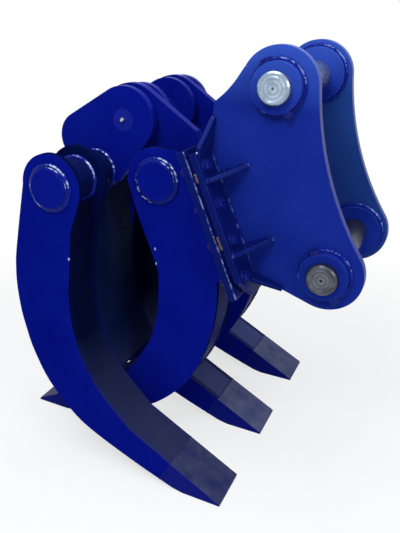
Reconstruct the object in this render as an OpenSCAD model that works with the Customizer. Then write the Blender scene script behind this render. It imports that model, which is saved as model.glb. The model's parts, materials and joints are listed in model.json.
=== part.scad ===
// Mechanical grapple for an excavator: three moving tines close between and
// outside two fixed tines, under a two-pin hitch head.
// X runs from the moving jaw to the hitch pins, Y across the tines, Z up.
// The origin is on the ground, below the middle of the grapple, which stands
// on its crossed tips.

/* [Tines] */
// Distance between neighbouring tines of one jaw
tine_pitch = 346; // [300:1:420]
// Width of a tine over its side plates
tine_w = 136; // [110:1:150]
// Place along X of the plane where the closed tines cross
mid_x = -138; // [-160:1:-110]
// Reach of a tip past the crossing plane
jaw_reach = 376; // [350:1:410]
// Height of the belly where the gripping face is widest apart
belly_h = 600; // [570:1:630]
// Thickness of the tine side plates
side_t = 16; // [10:1:20]
// Thickness of the gripping face plate between the side plates
face_t = 12; // [6:1:16]
// Depth of the gripping face below the edges of the side plates, at the tube
face_inset = 46; // [36:1:50]
// Thickness of the plate that closes the back of a tine
back_t = 10; // [6:1:16]
// Depth of the back plate below the edges of the side plates
back_inset = 3; // [0:1:8]
// Length of the straight part, from the bend to the tip block
shin_len = 150; // [110:1:180]
// Height of the blunt front edge of a tip
tip_edge = 6; // [3:1:12]
// Step of the upper infill plates behind the lower ones
infill_step = 3; // [1:1:6]

/* [Torque tubes] */
// Outer diameter of both torque tubes
tube_d = 114.3; // [100:0.1:121]
// Wall of the torque tubes
tube_wall = 10; // [6:0.5:16]
// Length of tube that stands out of the outer side plate
tube_stand = 6; // [3:1:12]
// Thickness of the discs that close the tubes
cap_t = 8; // [5:1:12]
// Step from the edge of a tube to the edge of its disc
cap_step = 4; // [2:1:10]
// Radius of the side plate lobes around the tubes
lobe_r = 91; // [86:1:96]
// Distance of the moving jaw's tube from the crossing plane
moving_tube_u = 133; // [126:1:140]
// Height of the moving jaw's tube above the belly
moving_tube_up = 245; // [238:1:252]
// Distance of the fixed jaw's tube from the crossing plane
fixed_tube_u = 91; // [84:1:98]
// Height of the fixed jaw's tube above the belly
fixed_tube_up = 252; // [244:1:260]

/* [Pivot] */
// Distance of the pivot behind the crossing plane
pivot_back = 40; // [34:1:46]
// Height of the pivot above the fixed jaw's tube
pivot_up = 146; // [140:1:154]
// Distance of each pivot set from the middle of the grapple
set_y = 133; // [133:1:138]
// Diameter of the pivot pins
pivot_pin_d = 60; // [50:1:70]
// Clear width between the two link plates of a set
link_gap = 79; // [74:1:82]
// Thickness of the link plates
link_t = 20; // [14:1:22]
// Radius of the link plates around the pivot
link_head_r = 92; // [84:1:94]
// Radius of the link plates around the torque tube
link_tube_r = 76; // [70:1:80]
// Radius of the heel of the link plates
link_heel_r = 73; // [60:1:80]
// Place of the heel from the pivot along X
link_heel_x = -140; // [-150:1:-130]
// Place of the heel from the pivot along Z
link_heel_z = -61; // [-70:1:-50]
// Thickness of the pivot lugs
lug_t = 24; // [18:1:24]
// Radius of the pivot lugs around the pivot
lug_head_r = 96; // [90:1:100]
// Radius of the pivot lugs around the fixed torque tube
lug_tube_r = 84; // [78:1:86]
// Outer diameter of the pivot bosses in the lugs
boss_d = 112; // [100:1:130]
// Wall of the bronze pivot bushes
bush_wall = 8; // [5:0.5:12]
// Thickness of the thrust washers
thrust_t = 3; // [2:0.5:5]
// Diameter of the holes for the stay pin
stay_hole_d = 50; // [40:1:60]
// Place of the stay pin from the pivot along X
stay_x = -157; // [-165:1:-145]
// Place of the stay pin from the pivot along Z
stay_z = -43; // [-50:1:-36]
// Height of the noses that stop the moving torque tube
nose_h = 70; // [50:1:80]
// Running clearance around the pivot pins
run_gap = 0.06; // [0.02:0.01:0.09]

/* [Flange joint] */
// Lean of the joint between the jaw and the head
lean = 23; // [22:0.5:24]
// Distance of the jaw flange from the fixed tube, square to the joint
flange_off = 116; // [110:1:122]
// Thickness of the jaw flange
flange_t = 18; // [14:1:22]
// Thickness of the packer between the flange and the base plate
packer_t = 15; // [10:1:20]
// Distance of the packer inside the edges of the plates around it
packer_inset = 12; // [8:1:14]
// Thickness of the head base plate
base_t = 16; // [12:1:22]
// Distance of the flange's side edges outside the fixed tines
flange_out = 59; // [54:1:66]
// Height of the flange's top end above the fixed tube, along the joint
flange_up = 53; // [46:1:60]
// Length of the flange
flange_len = 408; // [396:1:420]
// Length of the base plate
base_len = 402; // [396:1:412]
// Step from the top end of the flange to the top end of the base plate
base_drop = 14; // [10:1:18]
// Length and width of the cut corners of the base plate
corner_cut = 54; // [20:1:56]
// Edge distance of the flange bolts
bolt_edge = 30; // [26:1:36]
// Distance of the highest bolts from the top end of the flange
bolt_drop = 54; // [54:1:58]
// Distance of the lowest bolts from the low end of the base plate
bolt_rise = 59; // [56:1:64]
// Diameter of the flange bolts
bolt_d = 16; // [12:1:18]

/* [Head] */
// Outer distance over the two ears
ear_span = 412; // [400:1:430]
// Thickness of the ears
ear_t = 25; // [18:1:30]
// Radius of the ears around the hitch pins
ear_r = 97; // [92:1:102]
// Distance between the hitch pins
pin_centres = 480; // [465:1:495]
// Turn of the line through the hitch pins against the joint
pin_turn = 4.15; // [2:0.05:6]
// Distance of the upper hitch pin from the base plate, square to the joint
upper_pin_out = 220.5; // [214:0.5:228]
// Distance of the upper hitch pin above the top end of the flange
upper_pin_up = 65; // [58:1:72]
// Distance from the pin line to the hollow edge of the ears
ear_waist = 66; // [58:1:74]
// Place of the ear's shoulder, square to the joint from the base plate
ear_shoulder_out = 53; // [46:1:60]
// Place of the ear's shoulder, along the joint from the top of the flange
ear_shoulder_up = 88; // [82:1:94]
// Radius of the collars on the outer faces of the ears
collar_r = 62; // [56:1:68]
// Length of the collars
collar_t = 26; // [20:1:32]
// Radius of the bosses on the inner faces of the ears
inner_boss_r = 78; // [70:1:84]
// Length of the inner bosses
inner_boss_t = 23; // [18:1:28]
// Thickness of the head gussets
gusset_t = 10; // [8:1:14]
// Leg of the gussets along the ear
gusset_h = 85; // [70:1:95]

/* [Hitch pins] */
// Diameter of the hitch pins
hitch_pin_d = 80; // [70:1:90]
// Length of pin that stands out of each collar
pin_stand = 20; // [12:1:30]
// Edge bevel of the hitch pins
pin_bevel = 4; // [2:0.5:6]
// Clearance of the pins and tubes in their holes
fit_gap = 0.25; // [0.15:0.05:0.3]
// Diameter of the bolts that lock the hitch pins
lock_bolt_d = 16; // [12:1:20]
// Turn of the lock bolts about the pins
lock_turn = 117; // [100:1:130]

/* [Hidden] */

paint = [0.05, 0.11, 0.62];
paint_dark = [0.04, 0.07, 0.33];
tip_grey = [0.16, 0.18, 0.34];
steel = [0.78, 0.79, 0.81];
bronze = [0.72, 0.52, 0.25];
zinc = [0.62, 0.63, 0.62];

// One overrun for every through cut
overrun = 2;
// Gap left around round welded pieces
weld_gap = 0.25;
// Gap between a stop and what it stops
stop_gap = 0.4;
// Facets of round pieces
fine = 72;
small = 36;
// Steps of the outline between two of its points
steps = 3;

moving = -1;
fixed = 1;

tube_r = tube_d / 2;
moving_tube_z = belly_h + moving_tube_up;
fixed_tube_z = belly_h + fixed_tube_up;
moving_tube = [mid_x - moving_tube_u, moving_tube_z];
fixed_tube = [mid_x + fixed_tube_u, fixed_tube_z];
pivot = [mid_x - pivot_back, fixed_tube_z + pivot_up];
pivot_pin_r = pivot_pin_d / 2;
link_heel = pivot + [link_heel_x, link_heel_z];
hitch_pin_r = hitch_pin_d / 2;

link_in = set_y - link_gap / 2;
link_out = set_y + link_gap / 2;
// Where the link plates and the lugs stand along Y
link_spans = [for (a = [-link_out - link_t, -link_in, link_in - link_t, link_out]) [a, a + link_t]];
lug_spans = [for (k = [-1, 1]) [k * set_y - lug_t / 2, k * set_y + lug_t / 2]];
moving_y = [-tine_pitch, 0, tine_pitch];
fixed_y = [-tine_pitch / 2, tine_pitch / 2];

// Shares of the reach and of the belly height along the gripping edge
grip_shares = [[0.240, 1.000], [0.255, 0.900], [0.242, 0.758], [0.197, 0.633],
               [0.154, 0.567], [0.098, 0.500], [0.035, 0.440], [-0.043, 0.387],
               [-0.138, 0.327], [-0.247, 0.262]];
// Shares of the reach and of the belly height along the back edge
back_shares = [[0.707, 1.092], [0.731, 0.983], [0.734, 0.883], [0.713, 0.758],
               [0.681, 0.673], [0.636, 0.575], [0.532, 0.437], [0.415, 0.340],
               [0.282, 0.258], [0.160, 0.203], [-0.027, 0.147], [-0.335, 0.070],
               [-0.612, 0.010]];
// Shares of the lobe radius for the neck below a lobe
neck_shares = [[-1.00, 0.00], [-0.82, -0.69], [-0.60, -1.32]];
// Share of the reach where the underside meets the ground
heel_share = 0.697;
// Share of the belly height where the gripping face gets flush, and the upper
// infill plates meet the lower ones
flush_share = 1.08;
// Share of the belly height where the lower infill plates end
infill_end_share = 0.43;
// Share of the tube radius, below its axis, where the gripping face starts
face_start_share = 0.45;

function unit(v) = v / norm(v);
function side_of(v) = [-v[1], v[0]];
function curve_at(a, b, c, d, t) =
    (2 * b + (c - a) * t + (2 * a - 5 * b + 4 * c - d) * t * t
     + (3 * b - a - 3 * c + d) * t * t * t) / 2;
// Rounded line through the points of a list
function rounded(p) =
    [for (i = [0 : len(p) - 2], j = [0 : steps - 1])
        curve_at(p[max(i - 1, 0)], p[i], p[i + 1], p[min(i + 2, len(p) - 1)], j / steps),
     p[len(p) - 1]];
function heading(p, i) = unit(p[min(i + 1, len(p) - 1)] - p[max(i - 1, 0)]);
function shifted(p, d) = [for (i = [0 : len(p) - 1]) p[i] + d * side_of(heading(p, i))];
function from_to(p, a, b) = [for (i = [a : b]) p[i]];
function backwards(p) = [for (i = [len(p) - 1 : -1 : 0]) p[i]];
function band(p, near, far) = concat(shifted(p, near), backwards(shifted(p, far)));
function cross2(a, b) = a[0] * b[1] - a[1] * b[0];
// Ends of the straight line that touches two discs, on the side given by k
function tangent(a, ra, b, rb, k) =
    let (d = norm(b - a), v = unit(b - a), c = (ra - rb) / d,
         u = c * v + k * sqrt(1 - c * c) * side_of(v)) [a + ra * u, b + rb * u];
// Where the line p + k v crosses the line q + k w
function meet(p, v, q, w) = p + v * cross2(q - p, w) / cross2(v, w);
// Point of a jaw outline: distance past the crossing plane, and height
function place(p, jaw) = [mid_x + jaw * p[0], p[1]];
function place_all(p, jaw) = [for (q = p) place(q, jaw)];
// Point of the leaning joint: square to it and along it
function leaned(n, s) = [n * cos(lean) - s * sin(lean), n * sin(lean) + s * cos(lean)];

function tube_uz(jaw) = jaw == moving ? [moving_tube_u, moving_tube_z]
                                      : [fixed_tube_u, fixed_tube_z];
function grip_line(jaw) =
    rounded(concat([for (s = neck_shares) tube_uz(jaw) + lobe_r * s],
                   [for (s = grip_shares) [s[0] * jaw_reach, s[1] * belly_h]]));
function back_line(jaw) =
    rounded(concat(jaw == moving ? [tube_uz(jaw) + [lobe_r, 0]] : [],
                   [for (i = [jaw == moving ? 0 : 1 : len(back_shares) - 1])
                       [back_shares[i][0] * jaw_reach, back_shares[i][1] * belly_h]]));

bend = grip_line(fixed)[len(grip_line(fixed)) - 1];
tip_top = [-jaw_reach, tip_edge];
tip_foot = [-jaw_reach, 0];
tip_heel = [-heel_share * jaw_reach, 0];
shin_dir = unit(tip_top - bend);
shin_down = [-shin_dir[1], shin_dir[0]];
seam_top = bend + shin_len * shin_dir;
under_a = back_line(fixed)[len(back_line(fixed)) - 1];
under_b = back_line(fixed)[len(back_line(fixed)) - 1 - steps];
seam_foot = meet(seam_top, shin_down, under_a, under_b - under_a);

// Places square to the joint: flange, base plate and its outer face
flange_n = fixed_tube[0] * cos(lean) + fixed_tube[1] * sin(lean) + flange_off;
packer_n = flange_n + flange_t;
base_n = packer_n + packer_t;
face_n = base_n + base_t;
// Places along the joint
flange_top = fixed_tube[1] * cos(lean) - fixed_tube[0] * sin(lean) + flange_up;
flange_low = flange_top - flange_len;
base_top = flange_top - base_drop;
base_low = base_top - base_len;
flange_w = tine_pitch + tine_w + 2 * flange_out;
upper_pin = leaned(face_n + upper_pin_out, flange_top + upper_pin_up);
pin_lean = lean - pin_turn;
lower_pin = upper_pin + pin_centres * [sin(pin_lean), -cos(pin_lean)];
// Steps from the ends of the flange to the ends of the side plates
web_step = 10;
web_rise = 52;
web_top = leaned(flange_n, flange_top - web_step);
web_foot = leaned(flange_n, flange_low + web_rise);

ear_y = ear_span / 2;
ear_in_y = ear_y - ear_t;
collar_y = ear_y + collar_t;
boss_in_y = ear_in_y - inner_boss_t;
bolt_y = flange_w / 2 - bolt_edge;
washer_gap = 0.3;
boss_len = link_gap - 2 * (thrust_t + 2 * washer_gap);

// Solid between two places along Y over a flat outline in X and Z
module slab(y0, y1) {
    translate([0, y1, 0]) rotate([90, 0, 0]) linear_extrude(y1 - y0) children();
}
// Round bar along Y
module bar(c, r, y0, y1, n = fine) {
    translate([c[0], y1, c[1]]) rotate([90, 0, 0]) cylinder(h = y1 - y0, r = r, $fn = n);
}
// Moves flat children so that x is square to the joint and y runs along it
module leaning() {
    rotate([0, -lean, 0]) children();
}

// Outline of a side plate
module side_outline(jaw) {
    grip = grip_line(jaw);
    low = [seam_top, seam_foot];
    rest = backwards(from_to(back_line(jaw), 0, len(back_line(jaw)) - 1 - steps));
    closing = jaw == moving ? [] : [web_foot, web_top, fixed_tube + [0, lobe_r]];
    difference() {
        union() {
            polygon(concat(place_all(concat(grip, low, rest), jaw), closing));
            translate(place(tube_uz(jaw), jaw)) circle(r = lobe_r, $fn = fine);
        }
        translate(place(tube_uz(jaw), jaw)) circle(r = tube_r + weld_gap, $fn = fine);
    }
}
module sides(jaw, y) {
    color(paint) for (k = [-1, 1])
        slab(y + k * (tine_w - side_t) / 2 - side_t / 2, y + k * (tine_w - side_t) / 2 + side_t / 2)
            side_outline(jaw);
}
// Gripping face: deepest at the tube, flush with the side plates from the
// seam of the infill plates down to the tip block
flush_z = flush_share * belly_h;
function face_start_z(jaw) = tube_uz(jaw)[1] - face_start_share * tube_r;
function face_line(jaw) = concat(grip_line(jaw), [seam_top]);
function face_depth(p, jaw) =
    face_inset * max(0, (p[1] - flush_z) / (tube_uz(jaw)[1] - flush_z));
function face_at(jaw, behind) =
    let (p = face_line(jaw))
        [for (i = [0 : len(p) - 1]) p[i] + (face_depth(p[i], jaw) + behind) * side_of(heading(p, i))];
module level(low, high) {
    translate([mid_x - 2 * jaw_reach, low]) square([4 * jaw_reach, high - low]);
}
module face_band(jaw, behind, last) {
    difference() {
        polygon(place_all(concat(from_to(face_at(jaw, behind), 0, last),
                                 backwards(from_to(face_at(jaw, behind + face_t), 0, last))), jaw));
        translate(place(tube_uz(jaw), jaw)) circle(r = tube_r + weld_gap, $fn = fine);
    }
}
// Region in front of the back of the gripping face, below its start, where the
// plates that stand on a tube end
module front_of_face(jaw) {
    p = face_at(jaw, infill_step + face_t + weld_gap);
    intersection() {
        polygon(place_all(concat(p, [[-jaw_reach, p[len(p) - 1][1]], [-jaw_reach, p[0][1]]]), jaw));
        level(0, face_start_z(jaw) + weld_gap);
    }
}
module face(jaw, y) {
    color(paint_dark) slab(y - tine_w / 2 + side_t, y + tine_w / 2 - side_t) intersection() {
        face_band(jaw, 0, len(face_line(jaw)) - 1);
        level(0, face_start_z(jaw));
    }
}
module tip_outline(jaw) {
    polygon(place_all([seam_top, tip_top, tip_foot, tip_heel, under_a, seam_foot], jaw));
}
// Closes the tine behind, down to the tip block
module back(jaw, y) {
    line = back_line(jaw);
    run = concat(from_to(line, jaw == moving ? steps : 0, len(line) - 1 - steps), [under_a]);
    color(paint_dark) slab(y - tine_w / 2 + side_t, y + tine_w / 2 - side_t) difference() {
        polygon(place_all(band(run, -back_inset, -back_inset - back_t), jaw));
        tip_outline(jaw);
    }
}
module tip(jaw, y) {
    color(tip_grey) slab(y - tine_w / 2, y + tine_w / 2) tip_outline(jaw);
}
// Last outline step of the lower infill plates
function infill_last(jaw) =
    max([for (i = [0 : len(grip_line(jaw)) - 1])
        grip_line(jaw)[i][1] > infill_end_share * belly_h ? i : 0]);
module between_tines(y) {
    w = tine_pitch / 2 - tine_w / 2;
    slab(y - w, y + w) children();
}
module infill(jaw, y) {
    color(paint_dark) between_tines(y) intersection() {
        face_band(jaw, 0, infill_last(jaw));
        level(0, flush_z);
    }
}
module upper_infill(jaw, y) {
    color(paint_dark) between_tines(y) intersection() {
        face_band(jaw, infill_step, infill_last(jaw));
        level(flush_z + weld_gap, face_start_z(jaw));
    }
}

module moving_near_sides() sides(moving, moving_y[0]);
module moving_near_face() face(moving, moving_y[0]);
module moving_near_back() back(moving, moving_y[0]);
module moving_near_tip() tip(moving, moving_y[0]);
module moving_mid_sides() sides(moving, moving_y[1]);
module moving_mid_face() face(moving, moving_y[1]);
module moving_mid_back() back(moving, moving_y[1]);
module moving_mid_tip() tip(moving, moving_y[1]);
module moving_far_sides() sides(moving, moving_y[2]);
module moving_far_face() face(moving, moving_y[2]);
module moving_far_back() back(moving, moving_y[2]);
module moving_far_tip() tip(moving, moving_y[2]);
module moving_infill() for (k = [-1, 1]) infill(moving, k * tine_pitch / 2);
module moving_upper_infill() for (k = [-1, 1]) upper_infill(moving, k * tine_pitch / 2);

module fixed_near_sides() sides(fixed, fixed_y[0]);
module fixed_near_face() face(fixed, fixed_y[0]);
module fixed_near_back() back(fixed, fixed_y[0]);
module fixed_near_tip() tip(fixed, fixed_y[0]);
module fixed_far_sides() sides(fixed, fixed_y[1]);
module fixed_far_face() face(fixed, fixed_y[1]);
module fixed_far_back() back(fixed, fixed_y[1]);
module fixed_far_tip() tip(fixed, fixed_y[1]);
module fixed_infill() infill(fixed, 0);
module fixed_upper_infill() upper_infill(fixed, 0);

moving_end = tine_pitch + tine_w / 2 + tube_stand;
fixed_end = tine_pitch / 2 + tine_w / 2 + tube_stand;

module torque_tube(c, end) {
    color(paint) difference() {
        bar(c, tube_r, -end, end);
        bar(c, tube_r - tube_wall, -end - overrun, end + overrun);
    }
}
module tube_caps(c, end) {
    color(paint) {
        bar(c, tube_r - cap_step, end, end + cap_t);
        bar(c, tube_r - cap_step, -end - cap_t, -end);
    }
}
module moving_torque_tube() torque_tube(moving_tube, moving_end);
module moving_tube_caps() tube_caps(moving_tube, moving_end);
module fixed_torque_tube() torque_tube(fixed_tube, fixed_end);
module fixed_tube_caps() tube_caps(fixed_tube, fixed_end);

// Link plate between the pivot, the heel and the moving torque tube
module link(y, stay = true) {
    color(paint) slab(y, y + link_t) difference() {
        union() {
            translate(pivot) circle(r = link_head_r, $fn = fine);
            translate(link_heel) circle(r = link_heel_r, $fn = fine);
            translate(moving_tube) circle(r = link_tube_r, $fn = fine);
            polygon(concat(tangent(pivot, link_head_r, link_heel, link_heel_r, -1),
                           tangent(link_heel, link_heel_r, moving_tube, link_tube_r, -1),
                           tangent(moving_tube, link_tube_r, pivot, link_head_r, -1)));
        }
        translate(pivot) circle(r = pivot_pin_r + fit_gap, $fn = fine);
        translate(moving_tube) circle(r = tube_r + weld_gap, $fn = fine);
        front_of_face(moving);
        if (stay) translate(pivot + [stay_x, stay_z]) circle(r = stay_hole_d / 2, $fn = fine);
    }
}
module link_outer_near() link(-link_out - link_t, false);
module link_inner_near() link(-link_in);
module link_inner_far() link(link_in - link_t);
module link_outer_far() link(link_out);

// Pin of one pivot set, drilled from its outer end for grease
pivot_pin_len = link_gap + 2 * link_t;
nipple_r = 6;
nipple_stem_r = 4;
nipple_stand = 7;
nipple_depth = 12;
module pivot_pins() {
    color(steel) for (k = [-1, 1]) difference() {
        bar(pivot, pivot_pin_r, k * set_y - pivot_pin_len / 2, k * set_y + pivot_pin_len / 2);
        grease_stem(k, nipple_stem_r + weld_gap, overrun);
    }
}
// Round stem at the outer end of a pivot pin
module grease_stem(k, r, out) {
    outer = set_y + pivot_pin_len / 2;
    if (k > 0) bar(pivot, r, outer - nipple_depth, outer + out, small);
    else bar(pivot, r, -outer - out, -outer + nipple_depth, small);
}
module grease_nipples() {
    outer = set_y + pivot_pin_len / 2;
    color(zinc) for (k = [-1, 1]) {
        grease_stem(k, nipple_stem_r, nipple_stand);
        translate([pivot[0], k * (outer + nipple_stand), pivot[1]])
            rotate([-90 * k, 0, 0]) rotate_extrude($fn = small)
                polygon([[0, -nipple_stand], [nipple_r, -nipple_stand],
                         [nipple_r, 0], [nipple_stem_r, nipple_stem_r], [0, nipple_stem_r]]);
    }
}

// Pivot lug: runs from the pivot to the fixed torque tube and the flange, with
// a nose that stops the moving torque tube
lug_nose_in = 4;
lug_nose_up = 35;
lug_foot = 156;
module pivot_lug(y) {
    nose = leaned(flange_n - lug_nose_in, flange_top + lug_nose_up);
    to = nose - pivot;
    a = atan2(to[1], to[0]) + acos(lug_head_r / norm(to));
    touch = pivot + lug_head_r * [cos(a), sin(a)];
    stop_x = moving_tube[0] + tube_r + stop_gap;
    color(paint) slab(y - lug_t / 2, y + lug_t / 2) difference() {
        union() {
            translate(pivot) circle(r = lug_head_r, $fn = fine);
            translate(fixed_tube) circle(r = lug_tube_r, $fn = fine);
            polygon(concat(tangent(pivot, lug_head_r, fixed_tube, lug_tube_r, -1),
                           [fixed_tube, leaned(flange_n, flange_top - lug_foot),
                            leaned(flange_n, flange_top), nose, touch]));
            polygon([[stop_x, moving_tube[1] - nose_h / 2], [fixed_tube[0], moving_tube[1] - nose_h / 2],
                     [fixed_tube[0], moving_tube[1] + nose_h / 2],
                     [stop_x, moving_tube[1] + nose_h / 2]]);
        }
        translate(pivot) circle(r = boss_d / 2 + weld_gap, $fn = fine);
        translate(fixed_tube) circle(r = tube_r + weld_gap, $fn = fine);
        front_of_face(fixed);
    }
}
module pivot_lug_near() pivot_lug(-set_y);
module pivot_lug_far() pivot_lug(set_y);

bush_r = pivot_pin_r + run_gap + bush_wall;
module pivot_bosses() {
    color(paint) for (k = [-1, 1]) difference() {
        bar(pivot, boss_d / 2, k * set_y - boss_len / 2, k * set_y + boss_len / 2);
        bar(pivot, bush_r + fit_gap, k * set_y - boss_len / 2 - overrun, k * set_y + boss_len / 2 + overrun);
    }
}
module pivot_bushes() {
    color(bronze) for (k = [-1, 1]) difference() {
        bar(pivot, bush_r, k * set_y - boss_len / 2, k * set_y + boss_len / 2);
        bar(pivot, pivot_pin_r + run_gap, k * set_y - boss_len / 2 - overrun,
            k * set_y + boss_len / 2 + overrun);
    }
}
module thrust_washers() {
    color(bronze) for (k = [-1, 1], j = [-1, 1]) {
        y = k * set_y + j * (boss_len / 2 + washer_gap + thrust_t / 2);
        difference() {
            bar(pivot, boss_d / 2, y - thrust_t / 2, y + thrust_t / 2);
            bar(pivot, pivot_pin_r + run_gap, y - thrust_t / 2 - overrun, y + thrust_t / 2 + overrun);
        }
    }
}

// Plate of the flange joint, from its low end along the joint
bolts_a_side = 4;
bolt_high = flange_top - bolt_drop;
bolt_low = base_low + bolt_rise;
bolt_pitch = (bolt_high - bolt_low) / (bolts_a_side - 1);
function bolt_places() =
    [for (i = [0 : bolts_a_side - 1]) bolt_high + (bolt_low - bolt_high) * i / (bolts_a_side - 1)];
hole_gap = 1;
module joint_plate(n0, t, s0, s1, cut, inset = 0) {
    h = flange_w / 2 - inset;
    outline = [[-h, s0 + cut], [-h + cut, s0], [h - cut, s0], [h, s0 + cut], [h, s1], [-h, s1]];
    leaning() translate([n0, 0, 0]) rotate([90, 0, 90]) linear_extrude(t) difference() {
        polygon(outline);
        for (y = [-bolt_y, bolt_y], s = bolt_places())
            translate([y, s]) circle(r = bolt_d / 2 + hole_gap, $fn = small);
    }
}
module jaw_flange() color(paint)
    joint_plate(flange_n, flange_t, flange_low, flange_top, 0);
module flange_packer() color(paint)
    joint_plate(packer_n, packer_t, flange_low + packer_inset, base_top - packer_inset,
                corner_cut, packer_inset);
module head_base() color(paint)
    joint_plate(base_n, base_t, base_low, base_top, corner_cut);

washer_share = 1.05;
washer_t = 3;
head_share = 0.63;
nut_share = 0.8;
across_share = 1.73;
bolt_over = 4;
// Hexagon across the given corners, square to the joint
module at_bolts(n) {
    for (y = [-bolt_y, bolt_y], s = bolt_places())
        leaning() translate([n, y, s]) rotate([0, 90, 0]) children();
}
module flange_bolts() color(zinc) {
    at_bolts(face_n + washer_t) cylinder(h = head_share * bolt_d, d = across_share * bolt_d, $fn = 6);
    at_bolts(flange_n - washer_t - nut_share * bolt_d - bolt_over)
        cylinder(h = face_n + 2 * washer_t + nut_share * bolt_d + bolt_over - flange_n,
                 d = bolt_d, $fn = small);
}
module flange_washers() color(zinc) difference() {
    union() {
        at_bolts(face_n) cylinder(h = washer_t, r = washer_share * bolt_d, $fn = small);
        at_bolts(flange_n - washer_t) cylinder(h = washer_t, r = washer_share * bolt_d, $fn = small);
    }
    at_bolts(flange_n - washer_t - overrun)
        cylinder(h = face_n - flange_n + 2 * washer_t + 2 * overrun, r = bolt_d / 2 + weld_gap, $fn = small);
}
module flange_nuts() color(zinc) difference() {
    at_bolts(flange_n - washer_t - nut_share * bolt_d)
        cylinder(h = nut_share * bolt_d, d = across_share * bolt_d, $fn = 6);
    at_bolts(flange_n - washer_t - nut_share * bolt_d - overrun)
        cylinder(h = nut_share * bolt_d + 2 * overrun, r = bolt_d / 2 + weld_gap, $fn = small);
}

// Ear outline: two lobes, a hollow edge towards the machine, and a foot on the
// base plate
ear_foot_rise = 40;
// Shares of the lobe radius from the upper pin, for the neck below the lobe
ear_neck_shares = [[-0.90, 0.45], [-1.155, 0.07], [-1.41, -0.22]];
ear_foot_low = leaned(face_n, base_low + ear_foot_rise);
ear_foot_top = leaned(face_n, base_top);
ear_shoulder = leaned(face_n + ear_shoulder_out, flange_top + ear_shoulder_up);
ear_neck = [for (q = ear_neck_shares) upper_pin + ear_r * q, ear_shoulder];
hollow_r = (pow(pin_centres / 2, 2) + pow(ear_waist, 2) - pow(ear_r, 2)) / (2 * (ear_r - ear_waist));
hollow_c = (upper_pin + lower_pin) / 2
    + (hollow_r + ear_waist) * [cos(pin_lean), sin(pin_lean)];
// Where a line from a point touches a disc, on the side given by its sign
function touch_at(g, c, r, k) =
    let (d = g - c, a = atan2(d[1], d[0]) + k * acos(r / norm(d))) c + r * [cos(a), sin(a)];
module ear_outline() {
    difference() {
        union() {
            translate(upper_pin) circle(r = ear_r, $fn = fine);
            translate(lower_pin) circle(r = ear_r, $fn = fine);
            polygon([ear_foot_low, touch_at(ear_foot_low, lower_pin, ear_r, 1), lower_pin,
                     lower_pin + ear_r * unit(hollow_c - lower_pin),
                     upper_pin + ear_r * unit(hollow_c - upper_pin), upper_pin,
                     each rounded(ear_neck), ear_foot_top]);
        }
        translate(hollow_c) circle(r = hollow_r, $fn = 4 * fine);
        for (p = [upper_pin, lower_pin])
            translate(p) circle(r = hitch_pin_r + fit_gap, $fn = fine);
    }
}
module ear_near() color(paint) slab(-ear_y, -ear_in_y) ear_outline();
module ear_far() color(paint) slab(ear_in_y, ear_y) ear_outline();

lock_gap = 0.4;
lock_nut_share = 0.8;
lock_head_share = 0.65;
lock_across_share = 1.73;
seat_gap = 0.3;
// The lock bolt's head clears the outer face of the ear
lock_y = ear_y + max(collar_t / 2, lock_across_share * lock_bolt_d / 2 + seat_gap);
// Places children on the axis of a lock bolt, at a distance from the pin
module along_lock(p, d) {
    translate([p[0], -lock_y, p[1]]) rotate([0, -lock_turn, 0])
        rotate([0, 90, 0]) translate([0, 0, d]) children();
}
module lock_bore(p, r) {
    along_lock(p, -collar_r - overrun) cylinder(h = 2 * (collar_r + overrun), r = r, $fn = small);
}
module pin_collars() {
    color(paint) difference() {
        for (p = [upper_pin, lower_pin], k = [-1, 1])
            bar(p, collar_r, k > 0 ? ear_y : -collar_y, k > 0 ? collar_y : -ear_y);
        for (p = [upper_pin, lower_pin]) {
            bar(p, hitch_pin_r + fit_gap, -collar_y - overrun, collar_y + overrun);
            lock_bore(p, lock_bolt_d / 2 + lock_gap);
        }
    }
}
module ear_inner_bosses() {
    color(paint) difference() {
        for (p = [upper_pin, lower_pin], k = [-1, 1])
            bar(p, inner_boss_r, k > 0 ? boss_in_y : -ear_in_y, k > 0 ? ear_in_y : -boss_in_y);
        for (p = [upper_pin, lower_pin])
            bar(p, hitch_pin_r + fit_gap, -ear_in_y - overrun, ear_in_y + overrun);
    }
}

pin_end = collar_y + pin_stand;
centre_hole_r = 3;
centre_hole_deep = 8;
end_ring_r = 28;
end_ring_w = 2;
end_ring_deep = 1.5;
// Turned hitch pin with bevelled ends, a centre hole and a turned ring
module hitch_pin(p) {
    color(steel) difference() {
        translate([p[0], 0, p[1]]) rotate([90, 0, 0]) rotate_extrude($fn = fine)
            polygon([[0, -pin_end], [hitch_pin_r - pin_bevel, -pin_end],
                     [hitch_pin_r, -pin_end + pin_bevel], [hitch_pin_r, pin_end - pin_bevel],
                     [hitch_pin_r - pin_bevel, pin_end], [0, pin_end]]);
        for (k = [-1, 1]) translate([p[0], k * pin_end, p[1]]) rotate([90, 0, 0]) {
            cylinder(h = 2 * centre_hole_deep, r = centre_hole_r, center = true, $fn = small);
            rotate_extrude($fn = fine) translate([end_ring_r, -end_ring_deep])
                square([end_ring_w, 2 * end_ring_deep]);
        }
        lock_bore(p, lock_bolt_d / 2 + lock_gap);
    }
}
module hitch_pin_upper() hitch_pin(upper_pin);
module hitch_pin_lower() hitch_pin(lower_pin);

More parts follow.
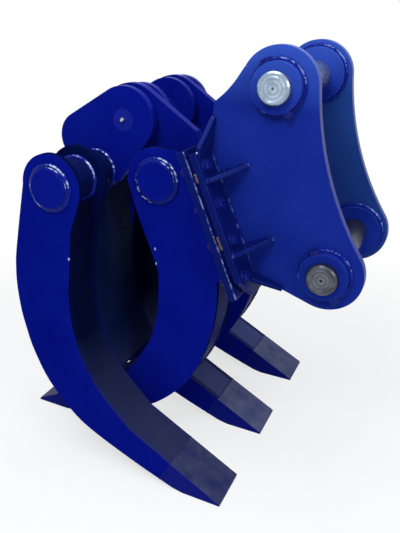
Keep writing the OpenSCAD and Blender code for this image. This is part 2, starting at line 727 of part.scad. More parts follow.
module pin_lock_bolts() color(zinc) for (p = [upper_pin, lower_pin]) {
    along_lock(p, collar_r + seat_gap)
        cylinder(h = lock_head_share * lock_bolt_d, d = lock_across_share * lock_bolt_d, $fn = 6);
    along_lock(p, -collar_r - lock_bolt_d)
        cylinder(h = 2 * collar_r + lock_bolt_d + seat_gap, d = lock_bolt_d, $fn = small);
}
module pin_lock_nuts() color(zinc) for (p = [upper_pin, lower_pin]) difference() {
    along_lock(p, -collar_r - seat_gap - lock_nut_share * lock_bolt_d)
        cylinder(h = lock_nut_share * lock_bolt_d, d = lock_across_share * lock_bolt_d, $fn = 6);
    along_lock(p, -collar_r - lock_bolt_d - overrun)
        cylinder(h = lock_bolt_d + 2 * overrun, r = lock_bolt_d / 2 + weld_gap, $fn = small);
}

// Three-cornered plate with one leg on the ear and one along Y
gusset_y = flange_w / 2 - ear_y;
gusset_edge = 4;
gusset_nose = 12;
// Shares of the bolt spacing from the highest bolts down to the side gussets
gusset_shares = [0.356, 2.356];
module side_gussets() color(paint)
    for (k = [-1, 1], down = gusset_shares) {
        s = bolt_high - down * bolt_pitch;
        leaning() translate([0, 0, s - gusset_t / 2]) linear_extrude(gusset_t)
            polygon([[face_n, k * ear_y], [face_n + gusset_h, k * ear_y],
                     [face_n + gusset_h, k * (ear_y + gusset_nose)],
                     [face_n + gusset_nose, k * (ear_y + gusset_y - gusset_edge)],
                     [face_n, k * (ear_y + gusset_y - gusset_edge)]]);
    }
// The same along a slanting edge of the ear, from the foot at a towards b
module edge_gusset(a, b, leg, wide, flip) {
    v = unit(b - a);
    turn = atan2(v[1], v[0]);
    for (k = [-1, 1]) difference() {
        translate([a[0], 0, a[1]]) rotate([0, -turn, 0])
            translate([0, 0, flip ? -gusset_t : 0]) linear_extrude(gusset_t)
                polygon([[-gusset_root, k * ear_y], [leg, k * ear_y], [leg, k * (ear_y + gusset_nose)],
                         [gusset_nose, k * wide], [-gusset_root, k * wide]]);
        leaning() translate([face_n - gusset_h, -flange_w, base_low - gusset_h])
            cube([gusset_h, 2 * flange_w, base_len + 2 * gusset_h]);
    }
}
// Length of a slanting gusset that is cut off at the base plate
gusset_root = 40;
top_gusset_len = 78;
bottom_gusset_len = 84;
module top_gussets() color(paint)
    edge_gusset(ear_foot_top, ear_shoulder, top_gusset_len, flange_w / 2 - 2 * gusset_edge, true);
module bottom_gussets() color(paint)
    edge_gusset(ear_foot_low, touch_at(ear_foot_low, lower_pin, ear_r, 1), bottom_gusset_len,
                bolt_y - washer_share * bolt_d - gusset_edge, false);

moving_near_sides();
moving_near_face();
moving_near_back();
moving_near_tip();
moving_mid_sides();
moving_mid_face();
moving_mid_back();
moving_mid_tip();
moving_far_sides();
moving_far_face();
moving_far_back();
moving_far_tip();
moving_infill();
moving_upper_infill();
moving_torque_tube();
moving_tube_caps();
link_outer_near();
link_inner_near();
link_inner_far();
link_outer_far();
pivot_pins();
grease_nipples();
fixed_near_sides();
fixed_near_face();
fixed_near_back();
fixed_near_tip();
fixed_far_sides();
fixed_far_face();
fixed_far_back();
fixed_far_tip();
fixed_infill();
fixed_upper_infill();
fixed_torque_tube();
fixed_tube_caps();
pivot_lug_near();
pivot_lug_far();
pivot_bosses();
pivot_bushes();
thrust_washers();
jaw_flange();
flange_packer();
head_base();
flange_bolts();
flange_washers();
flange_nuts();
ear_near();
ear_far();
pin_collars();
ear_inner_bosses();
hitch_pin_upper();
hitch_pin_lower();
pin_lock_bolts();
pin_lock_nuts();
side_gussets();
top_gussets();
bottom_gussets();
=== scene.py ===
import json
import math
import bpy
import bmesh
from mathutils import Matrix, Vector


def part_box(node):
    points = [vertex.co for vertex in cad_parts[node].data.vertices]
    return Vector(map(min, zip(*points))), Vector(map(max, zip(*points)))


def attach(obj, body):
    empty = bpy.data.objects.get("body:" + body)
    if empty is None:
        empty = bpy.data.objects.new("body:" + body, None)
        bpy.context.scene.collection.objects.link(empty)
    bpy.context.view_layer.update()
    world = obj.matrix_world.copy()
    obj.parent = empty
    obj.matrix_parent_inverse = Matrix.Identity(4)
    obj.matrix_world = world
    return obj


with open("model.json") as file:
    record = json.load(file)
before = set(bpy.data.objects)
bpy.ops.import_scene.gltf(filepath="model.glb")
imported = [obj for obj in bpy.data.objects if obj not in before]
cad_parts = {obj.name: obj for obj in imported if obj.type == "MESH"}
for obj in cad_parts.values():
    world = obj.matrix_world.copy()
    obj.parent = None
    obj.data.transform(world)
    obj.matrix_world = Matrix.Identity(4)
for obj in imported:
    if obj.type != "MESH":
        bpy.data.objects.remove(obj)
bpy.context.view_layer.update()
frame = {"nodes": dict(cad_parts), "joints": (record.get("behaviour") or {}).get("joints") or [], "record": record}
print("frame loaded:", len(frame["nodes"]), "nodes")

fixedBody = "fixed_jaw_and_head"
movingBody = "moving_jaw"
lean = math.radians(23)  # of the flange and the head


def sideFaces(node):  # lowest and highest y
    low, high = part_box(node)
    return low.y, high.y


def crossCentre(node):  # (x, z) of its middle
    low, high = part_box(node)
    return (low.x + high.x) / 2, (low.z + high.z) / 2


def crossPlace(row):  # (x, z) of a joint or mount
    return row["pos_m"][0], row["pos_m"][2]


def leaningSpan(node):  # lowest and highest along the flange's normal
    reach = [corner.co.x * math.cos(lean) + corner.co.z * math.sin(lean)
             for corner in frame["nodes"][node].data.vertices]
    return min(reach), max(reach)


mounts = {mount["name"]: mount for mount in frame["record"]["mounts"]}
pivot = crossPlace(frame["joints"][0])
upperPin = crossPlace(mounts["hitch_upper"])
lowerPin = crossPlace(mounts["hitch_lower"])
midX = (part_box("moving_mid_tip")[1].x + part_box("fixed_near_tip")[0].x) / 2  # where the closed jaws cross
tineHalf = sideFaces("moving_mid_sides")[1]
tinePitch = sideFaces("moving_far_sides")[1] - tineHalf  # between the tines of one jaw
plate = tineHalf - sideFaces("moving_mid_face")[1]  # side plates of the tines
movingMiddles = (-tinePitch, 0.0, tinePitch)
fixedMiddles = (-tinePitch / 2, tinePitch / 2)
movingTube = crossCentre("moving_torque_tube")
fixedTube = crossCentre("fixed_torque_tube")
tubeR = movingTube[0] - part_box("moving_torque_tube")[0].x
lugIn, lugOut = sideFaces("pivot_lug_far")
earIn, earOut = sideFaces("ear_far")
flangeN, grooveN = leaningSpan("jaw_flange")  # its back and its front, where the packer begins
baseN, faceN = leaningSpan("head_base")
gussetHeight = 0.76563  # upper side gussets, along the lean
gussetPitch = 0.202


def leaned(n, s):
    return n * math.cos(lean) - s * math.sin(lean), n * math.sin(lean) + s * math.cos(lean)


cameraSettings = {
    "place": (0.688, -1.625, 1.269),
    "turn": (69.0087, -0.3524, 26.7837),
    "sensor": 36,
    "lens": 40.38,
    "shift": (0.0565, -0.0411),
    "clip": (0.05, 100),
}
cameraData = bpy.data.cameras.new("camera")
camera = bpy.data.objects.new("camera", cameraData)
bpy.context.scene.collection.objects.link(camera)
camera.location = cameraSettings["place"]
camera.rotation_euler = [math.radians(angle) for angle in cameraSettings["turn"]]
cameraData.sensor_fit = "VERTICAL"
cameraData.sensor_height = cameraSettings["sensor"]
cameraData.lens = cameraSettings["lens"]
cameraData.shift_x, cameraData.shift_y = cameraSettings["shift"]
cameraData.clip_start, cameraData.clip_end = cameraSettings["clip"]
bpy.context.scene.camera = camera
print("camera placed")


# shading steps that the materials share
def link(tree, a, b):
    tree.links.new(a, b)


def newMaterial(name):
    material = bpy.data.materials.new(name)
    material.use_nodes = True
    tree = material.node_tree
    tree.nodes.clear()
    out = tree.nodes.new("ShaderNodeOutputMaterial")
    shader = tree.nodes.new("ShaderNodeBsdfPrincipled")
    coords = tree.nodes.new("ShaderNodeTexCoord")
    link(tree, shader.outputs[0], out.inputs[0])
    return material, tree, shader, coords


def noise(tree, vector, scale, detail, rough=0.5, distortion=0.0):
    made = tree.nodes.new("ShaderNodeTexNoise")
    made.inputs["Scale"].default_value = scale
    made.inputs["Detail"].default_value = detail
    made.inputs["Roughness"].default_value = rough
    made.inputs["Distortion"].default_value = distortion
    link(tree, vector, made.inputs["Vector"])
    return made.outputs["Fac"]


def ramp(tree, value, low, high, first=(0, 0, 0, 1), last=(1, 1, 1, 1)):
    made = tree.nodes.new("ShaderNodeValToRGB")
    made.color_ramp.elements[0].position = low
    made.color_ramp.elements[1].position = high
    made.color_ramp.elements[0].color = first
    made.color_ramp.elements[1].color = last
    link(tree, value, made.inputs["Fac"])
    return made.outputs["Color"]


def fallingRamp(tree, value, low, high):
    return ramp(tree, value, low, high, (1, 1, 1, 1), (0, 0, 0, 1))


def mix(tree, factor, a, b):
    made = tree.nodes.new("ShaderNodeMix")
    made.data_type = "RGBA"
    made.clamp_factor = True
    if isinstance(factor, float):
        made.inputs["Factor"].default_value = factor
    else:
        link(tree, factor, made.inputs["Factor"])
    for socket, value in ((made.inputs["A"], a), (made.inputs["B"], b)):
        if isinstance(value, tuple):
            socket.default_value = value
        else:
            link(tree, value, socket)
    return made.outputs["Result"]


def mathNode(tree, operation, *values):
    made = tree.nodes.new("ShaderNodeMath")
    made.operation = operation
    for socket, value in zip(made.inputs, values):
        if isinstance(value, (int, float)):
            socket.default_value = value
        else:
            link(tree, value, socket)
    return made.outputs[0]


def times(tree, a, b):
    return mathNode(tree, "MULTIPLY", a, b)


def timesPlus(tree, a, b, c):
    return mathNode(tree, "MULTIPLY_ADD", a, b, c)


def split(tree, vector):
    made = tree.nodes.new("ShaderNodeSeparateXYZ")
    link(tree, vector, made.inputs[0])
    return made.outputs


def bump(tree, height, strength, distance, normal=None):
    made = tree.nodes.new("ShaderNodeBump")
    made.inputs["Strength"].default_value = strength
    made.inputs["Distance"].default_value = distance
    link(tree, height, made.inputs["Height"])
    if normal is not None:
        link(tree, normal, made.inputs["Normal"])
    return made.outputs["Normal"]


edgeSettings = {"samples": 6, "spots": (60.0, 5.0, 0.6), "spotRange": (0.30, 0.62), "wearAndHighlightRange": (0.02, 0.20)}


def softEdge(tree, radius):
    made = tree.nodes.new("ShaderNodeBevel")
    made.samples = edgeSettings["samples"]
    made.inputs["Radius"].default_value = radius
    return made.outputs["Normal"]


def edgeMask(tree, soft, low, high):  # where the softened normal turns away from the flat one
    flat = tree.nodes.new("ShaderNodeNewGeometry").outputs["Normal"]
    dot = tree.nodes.new("ShaderNodeVectorMath")
    dot.operation = "DOT_PRODUCT"
    link(tree, soft, dot.inputs[0])
    link(tree, flat, dot.inputs[1])
    turned = mathNode(tree, "SUBTRACT", 1.0, dot.outputs["Value"])
    return ramp(tree, turned, low, high)


# pale edge colour: partly real edge wear, partly a painted highlight where edges catch the light
def edgeWearAndHighlight(tree, at, soft):
    spots = ramp(tree, noise(tree, at, *edgeSettings["spots"]), *edgeSettings["spotRange"])
    return times(tree, edgeMask(tree, soft, *edgeSettings["wearAndHighlightRange"]), spots)


# gloss paint; each noise is given as scale, detail, roughness and distortion
paintGrain = {
    "clouds": (5.5, 4.0, 0.55), "cloudRange": (0.30, 0.72),
    "grime": (23.0, 6.0, 0.62, 0.4), "grimeRange": (0.58, 0.86), "grimeShare": 0.30, "grimeRough": 0.15,
    "ragged": (6.0, 4.0, 0.55), "raggedSpread": 0.06,
    "rough": (14.0, 5.0, 0.6), "roughSpread": 0.20,
    "wave": (9.0, 2.0), "waveDepth": 0.006, "peel": (480.0, 2.0), "peelDepth": 0.0006,
}


def grimeMask(tree, at):
    return ramp(tree, noise(tree, at, *paintGrain["grime"]), *paintGrain["grimeRange"])


def dustyCoat(tree, clouds, grime, settings):
    tone = mix(tree, clouds, settings["color"], settings["thin"])
    return mix(tree, times(tree, grime, paintGrain["grimeShare"]), tone, settings["dust"])


def patchyRoughness(tree, at, roughness):
    spread = paintGrain["roughSpread"]
    return timesPlus(tree, noise(tree, at, *paintGrain["rough"]), spread, roughness - spread / 2)


def paintSkin(tree, shader, at, soft, grain, settings):  # sheen, slow waves and fine orange peel
    shader.inputs["Specular IOR Level"].default_value = settings["shine"]
    shader.inputs["Specular Tint"].default_value = settings["tint"]
    waves = noise(tree, at, *grain["wave"])
    normal = bump(tree, waves, settings["wave"], paintGrain["waveDepth"], soft)
    peel = noise(tree, at, *grain["peel"])
    normal = bump(tree, peel, settings["peel"], paintGrain["peelDepth"], normal)
    link(tree, normal, shader.inputs["Normal"])


def paint(name, settings):
    material, tree, shader, coords = newMaterial(name)
    at = coords.outputs["Object"]
    soft = softEdge(tree, settings["edgeRadius"])
    clouds = ramp(tree, noise(tree, at, *paintGrain["clouds"]), *paintGrain["cloudRange"])
    grime = grimeMask(tree, at)
    tone = dustyCoat(tree, clouds, grime, settings)
    if "paintedTopLight" in settings:  # painted light: paler towards the top, where the ears catch more light
        height = split(tree, at)["Z"]
        ragged = timesPlus(tree, noise(tree, at, *paintGrain["ragged"]), paintGrain["raggedSpread"], height)
        above = mathNode(tree, "SUBTRACT", ragged, settings["paintedLightFrom"])
        paintedLight = ramp(tree, above, 0.0, settings["paintedLightTo"] - settings["paintedLightFrom"])
        tone = mix(tree, paintedLight, tone, settings["paintedTopLight"])
    wearAndHighlight = times(tree, edgeWearAndHighlight(tree, at, soft), settings["edgeShare"])
    link(tree, mix(tree, wearAndHighlight, tone, settings["edge"]), shader.inputs["Base Color"])
    rough = patchyRoughness(tree, at, settings["roughness"])
    rough = mathNode(tree, "ADD", rough, times(tree, grime, paintGrain["grimeRough"]))
    link(tree, rough, shader.inputs["Roughness"])
    paintSkin(tree, shader, at, soft, paintGrain, settings)
    return material


jawPaintSettings = {
    "color": (0.0014, 0.0048, 0.178, 1), "thin": (0.0026, 0.0085, 0.222, 1), "dust": (0.010, 0.018, 0.16, 1),
    "edge": (0.036, 0.070, 0.40, 1), "edgeShare": 0.60, "edgeRadius": 0.0022,
    "roughness": 0.26, "shine": 0.022, "tint": (0.25, 0.40, 1.0, 1), "wave": 0.10, "peel": 0.06,
}
headPaintSettings = {
    "color": (0.0050, 0.0150, 0.195, 1), "thin": (0.0086, 0.0240, 0.250, 1), "dust": (0.018, 0.034, 0.20, 1),
    "paintedTopLight": (0.034, 0.085, 0.440, 1), "paintedLightFrom": 1.09, "paintedLightTo": 1.25,
    "edge": (0.060, 0.125, 0.50, 1), "edgeShare": 0.70, "edgeRadius": 0.0024,
    "roughness": 0.24, "shine": 0.035, "tint": (0.25, 0.40, 1.0, 1), "wave": 0.10, "peel": 0.06,
}
# painted light: the far ear gets its own copy of the head paint, toned to how light falls on its inner flank
farEarPaintedLightSettings = {
    **headPaintSettings,
    "color": (0.0090, 0.0330, 0.180, 1), "thin": (0.0150, 0.0500, 0.230, 1),
}
# painted shade: a darker copy of the blue paint for the flange, packer, gussets and base plate, which lie in
# shade; its paler edges are partly a painted highlight
shadedJointPaintSettings = {
    "color": (0.0018, 0.0056, 0.085, 1), "thin": (0.0030, 0.0085, 0.120, 1), "dust": (0.018, 0.022, 0.08, 1),
    "edge": (0.060, 0.095, 0.38, 1), "edgeShare": 0.80, "edgeRadius": 0.0018,
    "roughness": 0.24, "shine": 0.05, "tint": (0.25, 0.40, 1.0, 1), "wave": 0.10, "peel": 0.08,
}
# painted shade: a near-black copy of the blue paint for the torque tubes, which lie in shade between the plates
shadedTubePaintSettings = {
    "color": (0.0016, 0.0036, 0.040, 1), "thin": (0.0034, 0.0066, 0.070, 1), "dust": (0.032, 0.030, 0.04, 1),
    "edge": (0.040, 0.060, 0.25, 1), "edgeShare": 0.60, "edgeRadius": 0.0020,
    "roughness": 0.34, "shine": 0.05, "tint": (0.25, 0.40, 1.0, 1), "wave": 0.12, "peel": 0.10,
}
# painted shade: a dark copy of the blue paint for the backs of the tines
shadedBackPaintSettings = {
    "color": (0.0020, 0.0044, 0.060, 1), "thin": (0.0036, 0.0068, 0.085, 1), "dust": (0.012, 0.013, 0.045, 1),
    "edge": (0.030, 0.040, 0.20, 1), "edgeShare": 0.60, "edgeRadius": 0.0020,
    "roughness": 0.42, "shine": 0.010, "tint": (0.28, 0.38, 1.0, 1), "wave": 0.12, "peel": 0.06,
}
boltPaintSettings = {
    "color": (0.0020, 0.0060, 0.115, 1), "thin": (0.0034, 0.0090, 0.150, 1), "dust": (0.018, 0.024, 0.10, 1),
    "edge": (0.080, 0.115, 0.42, 1), "edgeShare": 0.60, "edgeRadius": 0.0012,
    "roughness": 0.22, "shine": 0.12, "tint": (0.80, 0.90, 1.0, 1), "wave": 0.05, "peel": 0.10,
}
jawPaint = paint("bluePaint", jawPaintSettings)
shadedJointPaint = paint("shadedJointPaint", shadedJointPaintSettings)
shadedTubePaint = paint("shadedTubePaint", shadedTubePaintSettings)
headPaint = paint("headPaint", headPaintSettings)
farEarPaintedLight = paint("farHeadPaintedLight", farEarPaintedLightSettings)
shadedBackPaint = paint("shadedBackPaint", shadedBackPaintSettings)
boltPaint = paint("boltPaint", boltPaintSettings)


# paint inside the jaws: very dark for painted shade inside the mouth, rubbed grey towards the tips
grippingGrain = {
    "edgeRadius": 0.0020, "edgeShare": 0.5,
    "ragged": (11.0, 4.0, 0.6), "raggedSpread": -0.12,
    "clouds": (6.0, 4.0, 0.55), "asideRange": (0.105, 0.215), "heightRange": (0.40, 0.58),
    "wave": (8.0, 2.0), "peel": (420.0, 2.0),
}
flankGrain = {
    "facingRange": (0.55, 0.75), "innerHalf": 0.056, "innerFade": 0.002,
    "wearAndHighlightShare": 1.2, "edgeBlue": 0.12,
}


def flankTone(tree, at, coords, clouds, wearAndHighlight, tone, settings):  # side plates are blue outside their tine; inside it they keep the gripping faces' dark tone, as painted shade
    facing = mathNode(tree, "ABSOLUTE", split(tree, coords.outputs["Normal"])["Y"])
    flats = ramp(tree, facing, *flankGrain["facingRange"])
    fromTine = mathNode(tree, "PINGPONG", split(tree, at)["Y"], tinePitch / 4)  # to the nearest middle
    inner = flankGrain["innerHalf"]
    flats = times(tree, flats, ramp(tree, fromTine, inner, inner + flankGrain["innerFade"]))
    blue = dustyCoat(tree, clouds, grimeMask(tree, at), settings)
    blue = mix(tree, times(tree, wearAndHighlight, flankGrain["wearAndHighlightShare"]), blue, settings["edge"])
    return mix(tree, flats, mix(tree, flankGrain["edgeBlue"], tone, blue), blue)


def grippingPaint(name, settings, flankSettings=None):
    material, tree, shader, coords = newMaterial(name)
    at = coords.outputs["Object"]
    soft = softEdge(tree, grippingGrain["edgeRadius"])
    place = split(tree, at)
    shift = noise(tree, at, *grippingGrain["ragged"])
    ragged = timesPlus(tree, shift, grippingGrain["raggedSpread"], place["Z"])
    clouds = ramp(tree, noise(tree, at, *grippingGrain["clouds"]), *paintGrain["cloudRange"])
    tone = mix(tree, clouds, settings["color"], settings["thin"])
    tone = mix(tree, fallingRamp(tree, ragged, *settings["rubbedRange"]), tone, settings["rubbed"])
    if "middle" in settings:  # painted light: a paler patch beside the middle tine
        aside = fallingRamp(tree, mathNode(tree, "ABSOLUTE", place["Y"]), *grippingGrain["asideRange"])
        height = ramp(tree, ragged, *grippingGrain["heightRange"])
        tone = mix(tree, times(tree, aside, height), tone, settings["middle"])
    wearAndHighlight = times(tree, edgeWearAndHighlight(tree, at, soft), grippingGrain["edgeShare"])
    tone = mix(tree, wearAndHighlight, tone, settings["edge"])
    if flankSettings:
        tone = flankTone(tree, at, coords, clouds, wearAndHighlight, tone, flankSettings)
    link(tree, tone, shader.inputs["Base Color"])
    link(tree, patchyRoughness(tree, at, settings["roughness"]), shader.inputs["Roughness"])
    paintSkin(tree, shader, at, soft, grippingGrain, settings)
    return material


# painted shade: the dark colour of the gripping faces
shadedGrippingSettings = {
    "color": (0.0006, 0.0020, 0.016, 1), "thin": (0.0014, 0.0046, 0.030, 1), "edge": (0.012, 0.018, 0.12, 1),
    "rubbed": (0.0230, 0.0285, 0.078, 1), "rubbedRange": (0.05, 0.34),
    "roughness": 0.40, "shine": 0.0, "tint": (0.30, 0.50, 1.0, 1), "wave": 0.14, "peel": 0.07,
}
# painted shade on the sheets between the tines, with a patch of painted light beside the middle tine
shadedSheetSettings = {
    "color": (0.0018, 0.0052, 0.030, 1), "thin": (0.0034, 0.0095, 0.048, 1), "edge": (0.012, 0.018, 0.12, 1),
    "rubbed": (0.0180, 0.0230, 0.070, 1), "rubbedRange": (0.05, 0.30), "middle": (0.022, 0.036, 0.098, 1),
    "roughness": 0.40, "shine": 0.0, "tint": (0.30, 0.50, 1.0, 1), "wave": 0.14, "peel": 0.07,
}
# painted light: a copy with paler rubbed paint, brightening the mid and far moving faces
litGrippingSettings = {**shadedGrippingSettings, "rubbed": (0.0580, 0.0710, 0.190, 1)}
shadedInnerPaint = grippingPaint("shadedInnerPaint", shadedGrippingSettings)
shadedSheetPaint = grippingPaint("shadedSheetPaint", shadedSheetSettings)
litInnerPaint = grippingPaint("litInnerPaint", litGrippingSettings)
sidePaint = grippingPaint("sidePaint", shadedGrippingSettings, jawPaintSettings)


# tip blocks, painted on their flanks and scraped on top
tipGrain = {
    "edgeRadius": 0.0030, "topRange": (0.35, 0.70), "stretch": (10.0, 90.0, 26.0),
    "scratches": (3.2, 7.0, 0.66, 0.6), "scratchRange": (0.40, 0.66), "scratchBump": (0.22, 0.0012),
    "blotches": (17.0, 5.0, 0.6), "blotchRange": (0.36, 0.66),
    "spots": (70.0, 5.0, 0.6), "spotRange": (0.25, 0.55), "wearAndHighlightRange": (0.02, 0.22), "edgeShare": 0.85,
    "roughness": (0.16, 0.34), "shine": 0.03, "tint": (0.70, 0.85, 1.0, 1),
}


def tipMaterial(name, settings):
    material, tree, shader, coords = newMaterial(name)
    at = coords.outputs["Object"]
    soft = softEdge(tree, tipGrain["edgeRadius"])
    top = ramp(tree, split(tree, coords.outputs["Normal"])["Z"], *tipGrain["topRange"])
    stretched = tree.nodes.new("ShaderNodeMapping")
    stretched.inputs["Scale"].default_value = tipGrain["stretch"]
    link(tree, at, stretched.inputs["Vector"])
    streaks = noise(tree, stretched.outputs[0], *tipGrain["scratches"])
    scratches = ramp(tree, streaks, *tipGrain["scratchRange"])
    blotches = ramp(tree, noise(tree, at, *tipGrain["blotches"]), *tipGrain["blotchRange"])
    rubbed = mix(tree, scratches, settings["rubbed"], settings["scraped"])
    rubbed = mix(tree, blotches, rubbed, settings["film"])
    tone = mix(tree, times(tree, top, settings["share"]), settings["paint"], rubbed)
    spots = ramp(tree, noise(tree, at, *tipGrain["spots"]), *tipGrain["spotRange"])
    wearAndHighlight = times(tree, edgeMask(tree, soft, *tipGrain["wearAndHighlightRange"]), spots)
    tone = mix(tree, times(tree, wearAndHighlight, tipGrain["edgeShare"]), tone, settings["edge"])
    link(tree, tone, shader.inputs["Base Color"])
    link(tree, timesPlus(tree, scratches, *tipGrain["roughness"]), shader.inputs["Roughness"])
    shader.inputs["Specular IOR Level"].default_value = tipGrain["shine"]
    shader.inputs["Specular Tint"].default_value = tipGrain["tint"]
    link(tree, bump(tree, streaks, *tipGrain["scratchBump"], soft), shader.inputs["Normal"])
    return material


tipSettings = {
    "paint": (0.0028, 0.0065, 0.165, 1),
    "rubbed": (0.034, 0.040, 0.085, 1),
    "scraped": (0.064, 0.072, 0.120, 1),
    "film": (0.020, 0.026, 0.086, 1),
    "edge": (0.085, 0.100, 0.240, 1),
    "share": 0.92,
}
# painted light: a paler copy of the tip paint, brightening the mid and far moving tips where the head shades them
litTipSettings = {
    "paint": (0.0028, 0.0065, 0.160, 1),
    "rubbed": (0.090, 0.102, 0.180, 1),
    "scraped": (0.130, 0.146, 0.235, 1),
    "film": (0.052, 0.066, 0.165, 1),
    "edge": (0.110, 0.125, 0.260, 1),
    "share": 0.95,
}
tipPaint = tipMaterial("tipPaint", tipSettings)
litTipPaint = tipMaterial("litTipPaint", litTipSettings)


# pin ends turned on a lathe, with rings round their own axis
turnedGrain = {
    "edgeRadius": 0.0010, "smear": (30.0, 6.0, 0.6, 0.5), "smearRange": (0.42, 0.74),
    "grooveRate": 620.0, "grooveRange": (0.35, 0.80), "rimRate": 25.0, "rimRange": (0.84, 0.93),
    "roughness": (0.22, 0.20), "anisotropy": 0.4,
    "ringBump": (0.10, 0.0006), "pits": (150.0, 4.0), "pitBump": (0.05, 0.0008),
}


def turnedSteel(name, centre, settings):
    material, tree, shader, coords = newMaterial(name)
    at = coords.outputs["Object"]
    moved = tree.nodes.new("ShaderNodeMapping")
    moved.inputs["Location"].default_value = (-centre[0], 0.0, -centre[1])
    link(tree, at, moved.inputs["Vector"])
    place = split(tree, moved.outputs[0])
    squareX = times(tree, place["X"], place["X"])
    squareZ = times(tree, place["Z"], place["Z"])
    far = mathNode(tree, "SQRT", mathNode(tree, "ADD", squareX, squareZ))
    rings = mathNode(tree, "SINE", times(tree, far, settings["rings"]))
    soft = softEdge(tree, turnedGrain["edgeRadius"])
    smear = ramp(tree, noise(tree, at, *turnedGrain["smear"]), *turnedGrain["smearRange"])
    tone = mix(tree, smear, settings["bright"], settings["dull"])
    waves = mathNode(tree, "SINE", times(tree, far, turnedGrain["grooveRate"]))
    grooves = ramp(tree, timesPlus(tree, waves, 0.5, 0.5), *turnedGrain["grooveRange"])
    tone = mix(tree, times(tree, grooves, settings["grooves"]), tone, settings["dull"])
    # painted shade: a darker ring at the rim of the pin end
    rimShade = ramp(tree, times(tree, far, turnedGrain["rimRate"]), *turnedGrain["rimRange"])
    tone = mix(tree, times(tree, rimShade, settings["rimShade"]), tone, settings["dull"])
    link(tree, tone, shader.inputs["Base Color"])
    link(tree, timesPlus(tree, smear, *turnedGrain["roughness"]), shader.inputs["Roughness"])
    shader.inputs["Metallic"].default_value = settings["metallic"]
    shader.inputs["Specular IOR Level"].default_value = settings["shine"]
    shader.inputs["Anisotropic"].default_value = turnedGrain["anisotropy"]
    normal = bump(tree, rings, *turnedGrain["ringBump"], soft)
    pits = noise(tree, at, *turnedGrain["pits"])
    link(tree, bump(tree, pits, *turnedGrain["pitBump"], normal), shader.inputs["Normal"])
    return material


upperPinSettings = {
    "bright": (0.46, 0.58, 0.72, 1), "dull": (0.20, 0.26, 0.34, 1),
    "rings": 1500.0, "grooves": 0.55, "rimShade": 0.80, "metallic": 0.8, "shine": 0.5,
}
lowerPinSettings = {
    **upperPinSettings,
    "bright": (0.135, 0.150, 0.190, 1), "dull": (0.045, 0.048, 0.060, 1),
}
pivotPinSettings = {  # painted over
    "bright": (0.0052, 0.0120, 0.240, 1), "dull": (0.0034, 0.0080, 0.180, 1),
    "rings": 3600.0, "grooves": 0.0, "rimShade": 0.0, "metallic": 0.0, "shine": 0.06,
}
upperSteel = turnedSteel("upperPinSteel", upperPin, upperPinSettings)
lowerSteel = turnedSteel("lowerPinSteel", lowerPin, lowerPinSettings)
pivotSteel = turnedSteel("pivotPinSteel", pivot, pivotPinSettings)


# bronze, zinc and bare weld
metalGrain = {
    "edgeRadius": 0.0008, "smear": (6.0, 0.6, 0.3), "smearRange": (0.38, 0.70), "smearRough": 0.25,
    "pits": 4.0, "pitBump": (0.15, 0.0008),
}


def metal(name, settings):
    material, tree, shader, coords = newMaterial(name)
    at = coords.outputs["Object"]
    soft = softEdge(tree, metalGrain["edgeRadius"])
    smear = ramp(tree, noise(tree, at, settings["scale"], *metalGrain["smear"]), *metalGrain["smearRange"])
    link(tree, mix(tree, smear, settings["color"], settings["stain"]), shader.inputs["Base Color"])
    rough = timesPlus(tree, smear, metalGrain["smearRough"], settings["roughness"])
    link(tree, rough, shader.inputs["Roughness"])
    shader.inputs["Metallic"].default_value = settings["metallic"]
    pits = noise(tree, at, settings["scale"] * 2, metalGrain["pits"])
    link(tree, bump(tree, pits, *metalGrain["pitBump"], soft), shader.inputs["Normal"])
    return material


bronzeSettings = {
    "color": (0.55, 0.33, 0.11, 1), "stain": (0.30, 0.17, 0.07, 1),
    "roughness": 0.28, "metallic": 1.0, "scale": 120.0,
}
zincSettings = {
    "color": (0.55, 0.57, 0.60, 1), "stain": (0.25, 0.27, 0.34, 1),
    "roughness": 0.30, "metallic": 1.0, "scale": 120.0,
}
bareWeldSettings = {
    "color": (0.15, 0.115, 0.095, 1), "stain": (0.045, 0.036, 0.050, 1),
    "roughness": 0.45, "metallic": 0.0, "scale": 160.0,
}
bronze = metal("bronze", bronzeSettings)
zinc = metal("zinc", zincSettings)
bareWeld = metal("weldRust", bareWeldSettings)


# painted weld, with glints on the flanks of the beads that look up or down
weldGrain = {
    "outward": 0.78,
    "upper": (0.40, 0.48), "lower": (-0.50, -0.38),  # shares of x and z in the way each flank looks
    "broken": (4.0, 0.62), "brokenRange": (0.46, 0.58),
    "smear": (90.0, 6.0, 0.6, 0.3), "smearRange": (0.38, 0.70), "smearRough": 0.20,
    "pits": (180.0, 4.0), "pitBump": (0.15, 0.0008),
}


